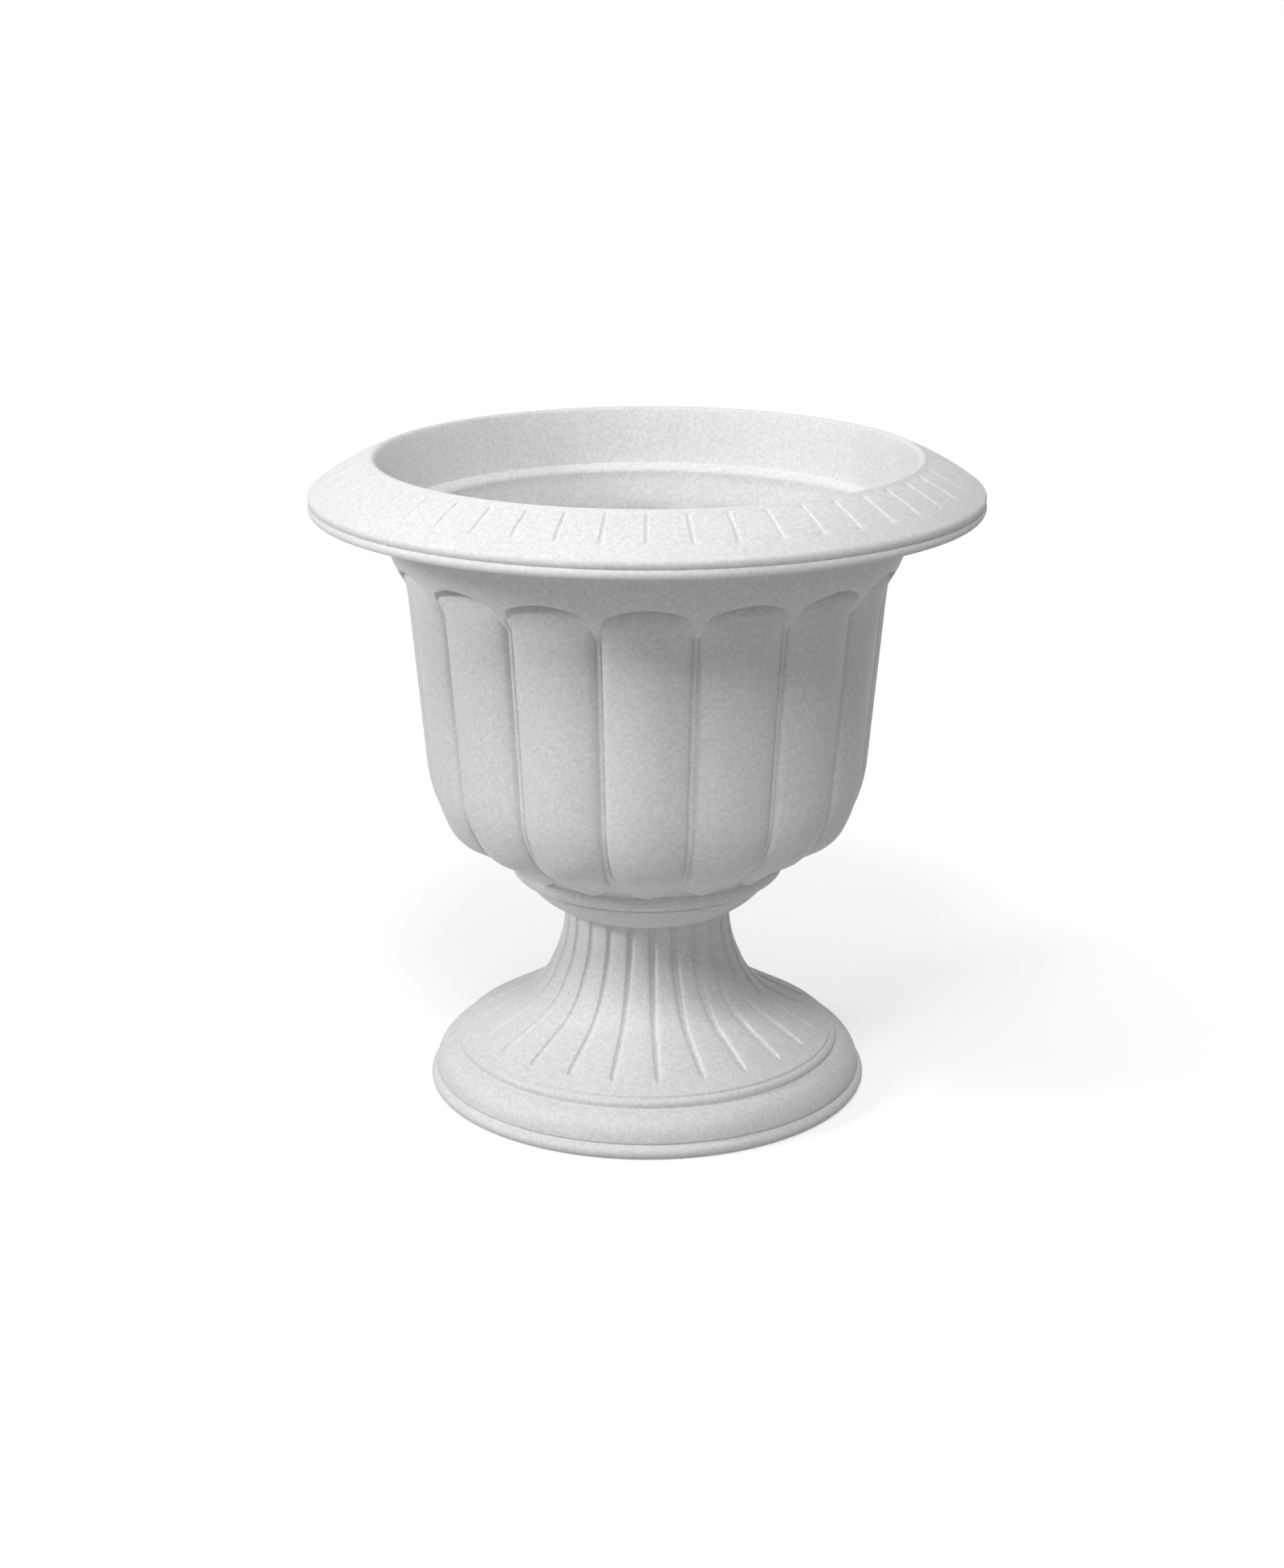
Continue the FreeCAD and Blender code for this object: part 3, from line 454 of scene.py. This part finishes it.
def band_row(share):
    """One level of the band, from the arches' edge up to the level where it is round."""
    row = []
    for point in arch_lip_row(0.9, 0.0, 0.9):
        height = point.z / mm + (400.0 - point.z / mm) * share
        around = math.atan2(point.y, point.x)
        row.append(Vector((cove_radius(height) * math.cos(around),
                           cove_radius(height) * math.sin(around), height)) * mm)
    return row


def hollow_top_row(drop, sunk):
    """One level inside a lobe's top, sunk from the plain wall towards the lobe's hollow."""
    half = top_half - wall * 0.45
    points = []
    for share in lobe_shares:
        across = share * half
        height = arch_height(across) + 1.5 - drop
        plain = inner_wall_radius(height)
        crown = crown_low.x + (height - crown_low.y) * math.tan(taper) - wall
        depth = crown - plain + half ** 2 / (2 * plain)
        lobe = crown - depth * section_fall(share, 0.0)
        straight = math.sqrt(plain ** 2 - across ** 2)
        points.append(Vector((straight + (lobe - straight) * sunk, across, height)) * mm)
    return with_ribs(points)


def rim_groove_row(radius, height, normal, fade):
    """One level of the rim's slope, sunk where the grooves cross it."""
    profile = {0: 1.0, 1: 0.82, 2: 0.42, 8: 0.42, 9: 0.82, 10: 1.0, 11: 0.82, 12: 0.42}
    row = []
    for place, angle in enumerate(rim_angles):
        sink = profile.get(place, 0.0) * fade * 1.35
        out = radius - normal.x * sink
        around = math.radians(angle)
        row.append(Vector((out * math.cos(around), out * math.sin(around),
                           height - normal.y * sink)) * mm)
    return row


bowl_rows = []
collar = trace([
    (58.5, 138.0), (58.5, 131.4), (61.0, 131.4, 14, 52.0), (86.0, 151.4), (84.6, 152.9),
    (87.0, 153.6, 10, 8.0), (95.6, 163.6), (94.6, 165.4), (97.4, 168.0), (97.9, 168.5)])
for point in collar:
    bowl_rows.append(turned_row(point.x, point.y, plain_angles))
for crown, lean, left in crown_path():
    bowl_rows.append(lobe_row(crown, lean, left, 0.0))
for drop, inward in ((15.0, 0.0), (11.0, 0.15), (8.0, 0.7), (5.6, 1.6), (3.6, 2.9),
                     (2.0, 4.4), (0.8, 6.0), (0.0, 7.6)):
    bowl_rows.append(lobe_top_row(drop, inward, min(1.0, drop / 5.6)))
for rise, cut, rib_rise in ((0.3, 3.5, 0.2), (0.1, 1.0, 0.4), (0.35, 0.3, 0.6), (0.9, 0.0, 0.9)):
    bowl_rows.append(arch_lip_row(rise, cut, rib_rise))
for step in range(1, 10):
    bowl_rows.append(band_row(step / 9))
rim_under = trace([(181.2, 414.0), (188.2, 441.2), (221.5, 424.5), (223.5, 415.4),
                   (227.6, 415.4, 6, 4.0), (227.2, 421.4, 6, 4.0), (226.0, 428.2)])
for point in rim_under:
    bowl_rows.append(turned_row(point.x, point.y, rim_angles))
slope = arc_points((226.0, 428.2), (188.5, 449.0), 150.0, 26)
for place, point in enumerate(slope):
    before = slope[place - 1] if place else Vector((226.0, 428.2))
    along = (point - before).normalized()
    inner, outer = 190.5, 216.5
    reach = min(point.x - inner, outer - point.x)
    fade = math.sqrt(max(0.0, min(1.0, reach / 2.5))) if reach > 0 else 0.0
    bowl_rows.append(rim_groove_row(point.x, point.y, Vector((along.y, -along.x)), fade))
mouth = trace([(188.5, 449.0, 6, 3.6), (182.5, 447.5, 4), (171.0, 411.0),
               (165.4, 408.5, 5, 4.0), (163.0, 404.0, 3), (ledge_radius, ledge_height)])
for point in mouth[1:]:
    bowl_rows.append(turned_row(point.x, point.y, plain_angles))
for drop, sunk in ((0.0, 0.0), (3.0, 0.08), (7.0, 0.30), (12.0, 0.60), (18.0, 0.86),
                   (26.0, 1.0)):
    bowl_rows.append(hollow_top_row(drop, sunk))
for crown, lean, left in crown_path()[::-1]:
    if 25.0 < left < 200.0:
        bowl_rows.append(lobe_row(crown, lean, left, wall))
for radius, height in ((109.4, 184.8), (92.9, 168.9), (83.0, 155.9), (68.5, 144.0)):
    bowl_rows.append(turned_row(radius, height, plain_angles))

bm = bmesh.new()
loft(bm, list(zip(*bowl_rows)))
close_round(bm, lobe_count)
floor_with_holes(bm, 138.0 * mm, 144.0 * mm,
                 [(0, 0, 4.5, 32)] + [(x, y, 7.5, 40) for x, y in drain_places])
bowl_resin = stone_resin("bowl_resin", 0.0)
bowl = finish_piece(bm, "bowl_moulding", bowl_resin)
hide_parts("bowl")
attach(bowl, "planter")


# ---------------------------------------------------------------------------------------------
# Clamp bolt. A zinc-plated steel bolt with a low domed head, dropped in from inside the bowl
# and down through the pedestal's plate. Its thread is rolled the whole way up the shank.

bolt_seat = 146.5
bolt_end = 106.5
thread_root = 3.35
thread_crest = 4.0
thread_pitch = 1.25


def lathe(bm, profile, steps):
    """Spins a profile of (radius, height) once around the upright axis into a closed skin."""
    verts = [bm.verts.new((radius * mm, 0.0, height * mm)) for radius, height in profile]
    edges = [bm.edges.new(pair) for pair in zip(verts, verts[1:])]
    bmesh.ops.spin(bm, geom=verts + edges, cent=(0, 0, 0), axis=(0, 0, 1), angle=math.tau,
                   steps=steps, use_merge=True)
    bmesh.ops.remove_doubles(bm, verts=bm.verts[:], dist=1e-6)


def plated_steel(name, tone, dullness):
    """Zinc-plated steel: cloudy pale metal with fine turning lines and small dull spots."""
    material = bpy.data.materials.new(name)
    material.use_nodes = True
    nodes, links = material.node_tree.nodes, material.node_tree.links
    shader = nodes["Principled BSDF"]
    shader.inputs["Metallic"].default_value = 1.0
    place = nodes.new("ShaderNodeTexCoord")
    cloud = nodes.new("ShaderNodeTexNoise")
    cloud.inputs["Scale"].default_value = 260.0
    cloud.inputs["Detail"].default_value = 5.0
    links.new(place.outputs["Object"], cloud.inputs["Vector"])
    zinc = nodes.new("ShaderNodeValToRGB")
    zinc.color_ramp.elements[0].position = 0.32
    zinc.color_ramp.elements[0].color = (tone * 0.72, tone * 0.74, tone * 0.78, 1)
    zinc.color_ramp.elements[1].position = 0.66
    zinc.color_ramp.elements[1].color = (tone, tone, tone * 1.02, 1)
    links.new(cloud.outputs["Fac"], zinc.inputs["Fac"])
    links.new(zinc.outputs["Color"], shader.inputs["Base Color"])
    rough = nodes.new("ShaderNodeMapRange")
    rough.inputs["To Min"].default_value = dullness
    rough.inputs["To Max"].default_value = dullness + 0.16
    links.new(cloud.outputs["Fac"], rough.inputs["Value"])
    links.new(rough.outputs["Result"], shader.inputs["Roughness"])
    lines = nodes.new("ShaderNodeTexWave")
    lines.wave_type = "RINGS"
    lines.rings_direction = "Z"
    lines.inputs["Scale"].default_value = 900.0
    lines.inputs["Distortion"].default_value = 1.5
    links.new(place.outputs["Object"], lines.inputs["Vector"])
    turned = nodes.new("ShaderNodeBump")
    turned.inputs["Strength"].default_value = 0.12
    turned.inputs["Distance"].default_value = 0.0001
    links.new(lines.outputs["Fac"], turned.inputs["Height"])
    links.new(turned.outputs["Normal"], shader.inputs["Normal"])
    return material


bm = bmesh.new()
head_dome = arc_points((10.0, bolt_seat + 1.25), (0.0, bolt_seat + 5.0), 15.208, 12)
lathe(bm, [(0.0, bolt_end), (2.6, bolt_end), (thread_root + 0.05, bolt_end + 0.8),
           (thread_root + 0.05, 143.0), (thread_crest, 143.6), (thread_crest, bolt_seat),
           (9.7, bolt_seat), (10.0, bolt_seat + 0.3), (10.0, bolt_seat + 1.25)]
      + [tuple(point) for point in head_dome[:-1]] + [(0.0, bolt_seat + 5.0)], 48)
thread = [bm.verts.new((radius * mm, 0.0, (bolt_end + 0.9 + rise * thread_pitch) * mm))
          for radius, rise in ((thread_root, 0.0), (thread_crest, 0.42), (thread_crest, 0.58),
                               (thread_root, 1.0))]
thread_edges = [bm.edges.new(pair) for pair in zip(thread, thread[1:])]
thread_turns = 28
bmesh.ops.spin(bm, geom=thread + thread_edges, cent=(0, 0, 0), axis=(0, 0, 1),
               angle=math.tau * thread_turns, steps=24 * thread_turns,
               dvec=(0, 0, thread_pitch * mm / 24))
bmesh.ops.remove_doubles(bm, verts=bm.verts[:], dist=1e-6)
bmesh.ops.holes_fill(bm, edges=[edge for edge in bm.edges if edge.is_boundary], sides=0)
bolt_steel = plated_steel("bolt_steel", 0.66, 0.26)
bolt = finish_piece(bm, "bolt_domed", bolt_steel, 30.0)
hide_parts("clamp_bolt")
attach(bolt, "planter")


# ---------------------------------------------------------------------------------------------
# Sealing washer. A soft black rubber ring squeezed between the bolt's head and the bowl's
# floor, so that water leaves only through the drain holes. Its outer edge bulges a little.


def soft_rubber(name, tone):
    """Moulded rubber: near black, matte, with a fine grain and a dusty bloom."""
    material = bpy.data.materials.new(name)
    material.use_nodes = True
    nodes, links = material.node_tree.nodes, material.node_tree.links
    shader = nodes["Principled BSDF"]
    place = nodes.new("ShaderNodeTexCoord")
    bloom = nodes.new("ShaderNodeTexNoise")
    bloom.inputs["Scale"].default_value = 150.0
    bloom.inputs["Detail"].default_value = 6.0
    links.new(place.outputs["Object"], bloom.inputs["Vector"])
    shade = nodes.new("ShaderNodeValToRGB")
    shade.color_ramp.elements[0].position = 0.35
    shade.color_ramp.elements[0].color = (tone, tone, tone * 1.08, 1)
    shade.color_ramp.elements[1].position = 0.75
    shade.color_ramp.elements[1].color = (tone * 2.1, tone * 2.1, tone * 2.1, 1)
    links.new(bloom.outputs["Fac"], shade.inputs["Fac"])
    links.new(shade.outputs["Color"], shader.inputs["Base Color"])
    rough = nodes.new("ShaderNodeMapRange")
    rough.inputs["To Min"].default_value = 0.62
    rough.inputs["To Max"].default_value = 0.86
    links.new(bloom.outputs["Fac"], rough.inputs["Value"])
    links.new(rough.outputs["Result"], shader.inputs["Roughness"])
    pores = nodes.new("ShaderNodeTexNoise")
    pores.inputs["Scale"].default_value = 1800.0
    pores.inputs["Detail"].default_value = 2.0
    links.new(place.outputs["Object"], pores.inputs["Vector"])
    grain = nodes.new("ShaderNodeBump")
    grain.inputs["Strength"].default_value = 0.25
    grain.inputs["Distance"].default_value = 0.0002
    links.new(pores.outputs["Fac"], grain.inputs["Height"])
    links.new(grain.outputs["Normal"], shader.inputs["Normal"])
    return material


bm = bmesh.new()
bulge = arc_points((13.55, 144.0), (13.55, 146.5), 1.64, 8)
lathe(bm, [(4.3, 144.3), (4.6, 144.0), (13.55, 144.0)] + [tuple(point) for point in bulge]
      + [(4.6, 146.5), (4.3, 146.2), (4.3, 144.3)], 64)
seal_rubber = soft_rubber("seal_rubber", 0.022)
seal = finish_piece(bm, "sealing_ring", seal_rubber, 30.0)
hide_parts("sealing_washer")
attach(seal, "planter")


# ---------------------------------------------------------------------------------------------
# Flat washer. A stamped zinc-plated ring under the pedestal's plate: the punch leaves its upper
# edges rounded and its lower edges nearly sharp.

bm = bmesh.new()
lathe(bm, [(4.3, 130.12), (4.42, 130.0), (11.85, 130.0), (12.0, 130.15), (12.0, 131.45),
           (11.9, 131.8), (11.55, 132.0), (4.7, 132.0), (4.4, 131.85), (4.3, 131.5),
           (4.3, 130.12)], 64)
washer_steel = plated_steel("washer_steel", 0.60, 0.32)
flat_ring = finish_piece(bm, "flat_ring", washer_steel, 30.0)
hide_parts("flat_washer")
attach(flat_ring, "washer")


# ---------------------------------------------------------------------------------------------
# Wing nut. A cast and plated hub with two drooping wings for the fingers. It runs on the bolt's
# thread and pulls bowl and pedestal together from below.

nut_seat = 130.0
wing_end = arc_points((19.0, -9.0), (13.7, -18.0), -5.58, 14)
wing_edge = [(5.05, -8.1), (5.05, -2.7), (11.4, -3.15), (19.0, -9.0)] \
    + [tuple(point) for point in wing_end]

bm = bmesh.new()
corners = [bm.verts.new((along * mm, -1.5 * mm, (nut_seat + rise) * mm))
           for along, rise in wing_edge]
wing_side = bmesh.ops.contextual_create(bm, geom=corners)["faces"]
thick = bmesh.ops.extrude_face_region(bm, geom=wing_side)["geom"]
bmesh.ops.translate(bm, vec=(0, 3.0 * mm, 0),
                    verts=[item for item in thick if isinstance(item, bmesh.types.BMVert)])
bmesh.ops.recalc_face_normals(bm, faces=bm.faces[:])
bmesh.ops.bevel(bm, geom=[edge for edge in bm.edges
                          if any(len(face.verts) > 4 for face in edge.link_faces)],
                offset=0.9 * mm, offset_type="OFFSET", segments=4, profile=0.5,
                affect="EDGES", material=-1)
bmesh.ops.spin(bm, geom=bm.verts[:] + bm.edges[:] + bm.faces[:], cent=(0, 0, 0),
               axis=(0, 0, 1), angle=math.pi, steps=1, use_duplicate=True)
hub = [(4.05, -8.6), (4.45, -9.0), (6.2, -9.0), (6.68, -8.5), (7.94, -2.1), (8.0, -1.7),
       (8.0, -0.35), (7.65, 0.0), (4.45, 0.0), (4.05, -0.4), (4.05, -8.6)]
lathe(bm, [(radius, nut_seat + rise) for radius, rise in hub], 48)
nut_steel = plated_steel("nut_steel", 0.58, 0.36)
wing_nut = finish_piece(bm, "winged_nut", nut_steel, 30.0)
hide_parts("wing_nut")
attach(wing_nut, "nut")


# ---------------------------------------------------------------------------------------------
# Drain plugs. Three soft rubber stoppers moulded in one piece each: a stem pushed into the
# bowl's drain hole, a flange that seals on the floor and a tab with a finger hole to pull it by.

plug_seat = 144.0


def drain_plug(place, x, y):
    """Turns the flange and stem, cuts the tab with its hole and joins them as one piece."""
    bm = bmesh.new()
    tab_low, tab_centre, tab_half, hole = 1.2, 7.0, 5.5, 2.6
    outline = [(-tab_half, tab_low), (tab_half, tab_low)]
    for step in range(17):
        turn = math.pi * step / 16
        outline.append((tab_half * math.cos(turn), tab_centre + tab_half * math.sin(turn)))
    edge = [bm.verts.new((along * mm, -1.5 * mm, (plug_seat + rise) * mm))
            for along, rise in outline]
    edges = [bm.edges.new(pair) for pair in zip(edge, edge[1:] + edge[:1])]
    eye = bmesh.ops.create_circle(
        bm, segments=24, radius=hole * mm,
        matrix=Matrix.Translation((0, -1.5 * mm, (plug_seat + tab_centre) * mm))
        @ Matrix.Rotation(math.pi / 2, 4, "X"))
    edges += list({link for vert in eye["verts"] for link in vert.link_edges})
    made = bmesh.ops.triangle_fill(bm, edges=edges, use_beauty=True, normal=(0, 1, 0))["geom"]
    side = [item for item in made if isinstance(item, bmesh.types.BMFace)]
    thick = bmesh.ops.extrude_face_region(bm, geom=side)["geom"]
    bmesh.ops.translate(bm, vec=(0, 3.0 * mm, 0),
                        verts=[item for item in thick if isinstance(item, bmesh.types.BMVert)])
    bmesh.ops.recalc_face_normals(bm, faces=bm.faces[:])
    rims = [link for link in bm.edges if len(link.link_faces) == 2
            and link.calc_face_angle(0.0) > math.radians(60)
            and abs(link.verts[0].co.y - link.verts[1].co.y) < 1e-6]
    bmesh.ops.bevel(bm, geom=rims, offset=0.7 * mm, offset_type="OFFSET", segments=3,
                    profile=0.5, affect="EDGES", material=-1)
    stopper = [(0.0, -10.0), (6.05, -10.0), (6.35, -9.9), (7.35, -8.9), (7.45, -8.6),
               (7.45, -0.2), (7.65, 0.0), (10.0, 0.0), (10.35, 0.15), (10.5, 0.5),
               (10.5, 1.7), (10.3, 2.2), (9.8, 2.5), (8.6, 2.5), (8.1, 2.15), (0.0, 2.15)]
    lathe(bm, [(radius, plug_seat + rise) for radius, rise in stopper], 48)
    bmesh.ops.translate(bm, vec=(x * mm, y * mm, 0), verts=bm.verts[:])
    plug = finish_piece(bm, "plug_%d" % place, plug_rubber, 30.0)
    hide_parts("drain_plug_%d" % place)
    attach(plug, "plug_%d" % place)


plug_rubber = soft_rubber("plug_rubber", 0.030)
for place, (x, y) in enumerate(drain_places, 1):
    drain_plug(place, x, y)


# ---------------------------------------------------------------------------------------------
# Studio. A white sweep of floor, a small soft lamp on the left, a stronger one high in front that
# throws the rim's shadow on the lobes, a weak one overhead, and the camera where the photograph
# was taken from.

floor_bm = bmesh.new()
bmesh.ops.create_grid(floor_bm, x_segments=1, y_segments=1, size=6.0)
floor_mesh = bpy.data.meshes.new("studio_floor")
floor_bm.to_mesh(floor_mesh)
floor_bm.free()
studio_floor = bpy.data.objects.new("studio_floor", floor_mesh)
bpy.context.scene.collection.objects.link(studio_floor)
studio_floor.location.z = -0.0002


def seen_directly(tree):
    """1 for rays that see the background directly, in a reflection or through glass."""
    rays = tree.nodes.new("ShaderNodeLightPath")
    either = rays.outputs["Is Camera Ray"]
    for kind in ("Is Glossy Ray", "Is Transmission Ray"):
        most = tree.nodes.new("ShaderNodeMath")
        most.operation = "MAXIMUM"
        tree.links.new(either, most.inputs[0])
        tree.links.new(rays.outputs[kind], most.inputs[1])
        either = most.outputs[0]
    return either


floor_paint = bpy.data.materials.new("floor_paint")
floor_paint.use_nodes = True
floor_tree = floor_paint.node_tree
floor_shader = floor_tree.nodes["Principled BSDF"]
floor_shader.inputs["Base Color"].default_value = (0.48, 0.48, 0.48, 1)
floor_shader.inputs["Roughness"].default_value = 0.9
floor_shader.inputs["Emission Color"].default_value = (1, 1, 1, 1)
floor_place = floor_tree.nodes.new("ShaderNodeTexCoord")
floor_reach = floor_tree.nodes.new("ShaderNodeVectorMath")
floor_reach.operation = "LENGTH"
floor_tree.links.new(floor_place.outputs["Object"], floor_reach.inputs[0])
floor_sweep = floor_tree.nodes.new("ShaderNodeMapRange")
floor_sweep.inputs["From Min"].default_value = 0.3
floor_sweep.inputs["From Max"].default_value = 1.6
floor_sweep.inputs["To Min"].default_value = 0.62
floor_sweep.inputs["To Max"].default_value = 1.0
floor_tree.links.new(floor_reach.outputs["Value"], floor_sweep.inputs["Value"])
floor_glow = floor_tree.nodes.new("ShaderNodeMath")
floor_glow.operation = "MULTIPLY"
floor_tree.links.new(floor_sweep.outputs["Result"], floor_glow.inputs[1])
floor_tree.links.new(seen_directly(floor_tree), floor_glow.inputs[0])
floor_tree.links.new(floor_glow.outputs[0], floor_shader.inputs["Emission Strength"])
floor_mesh.materials.append(floor_paint)

world = bpy.data.worlds.new("studio_air")
bpy.context.scene.world = world
world.use_nodes = True
air = world.node_tree.nodes["Background"]
air.inputs["Color"].default_value = (1, 1, 1, 1)
air_strength = world.node_tree.nodes.new("ShaderNodeMapRange")
air_strength.inputs["To Min"].default_value = 0.20
air_strength.inputs["To Max"].default_value = 1.0
world.node_tree.links.new(seen_directly(world.node_tree), air_strength.inputs["Value"])
world.node_tree.links.new(air_strength.outputs["Result"], air.inputs["Strength"])


def soft_lamp(name, place, size, power):
    """A square soft lamp that looks at the middle of the bowl."""
    light = bpy.data.lights.new(name, "AREA")
    light.shape = "SQUARE"
    light.size = size
    light.energy = power
    holder = bpy.data.objects.new(name, light)
    holder.location = place
    aim = Vector((0.0, 0.0, 0.28)) - Vector(place)
    holder.rotation_euler = aim.to_track_quat("-Z", "Y").to_euler()
    bpy.context.scene.collection.objects.link(holder)


soft_lamp("left_lamp", (-2.20, -0.70, 1.50), 0.5, 27.0)
soft_lamp("front_lamp", (-0.20, -1.75, 2.56), 0.85, 42.0)
soft_lamp("top_lamp", (0.10, 0.25, 2.40), 1.0, 8.0)

frame_height = 1954.0
focal_length = 3457.0
rim_radius = 0.2285
camera_data = bpy.data.cameras.new("camera")
camera_data.sensor_width = 36.0
camera_data.lens = focal_length * 36.0 / frame_height
camera_data.shift_x = -6.4 / frame_height
camera = bpy.data.objects.new("camera", camera_data)
camera.location = (0.0, -8.10 * rim_radius, 3.487 * rim_radius)
camera.rotation_euler = (math.radians(90.0 - 17.42), 0.0, 0.0)
bpy.context.scene.collection.objects.link(camera)
bpy.context.scene.camera = camera
bpy.context.scene.view_settings.view_transform = "Standard"
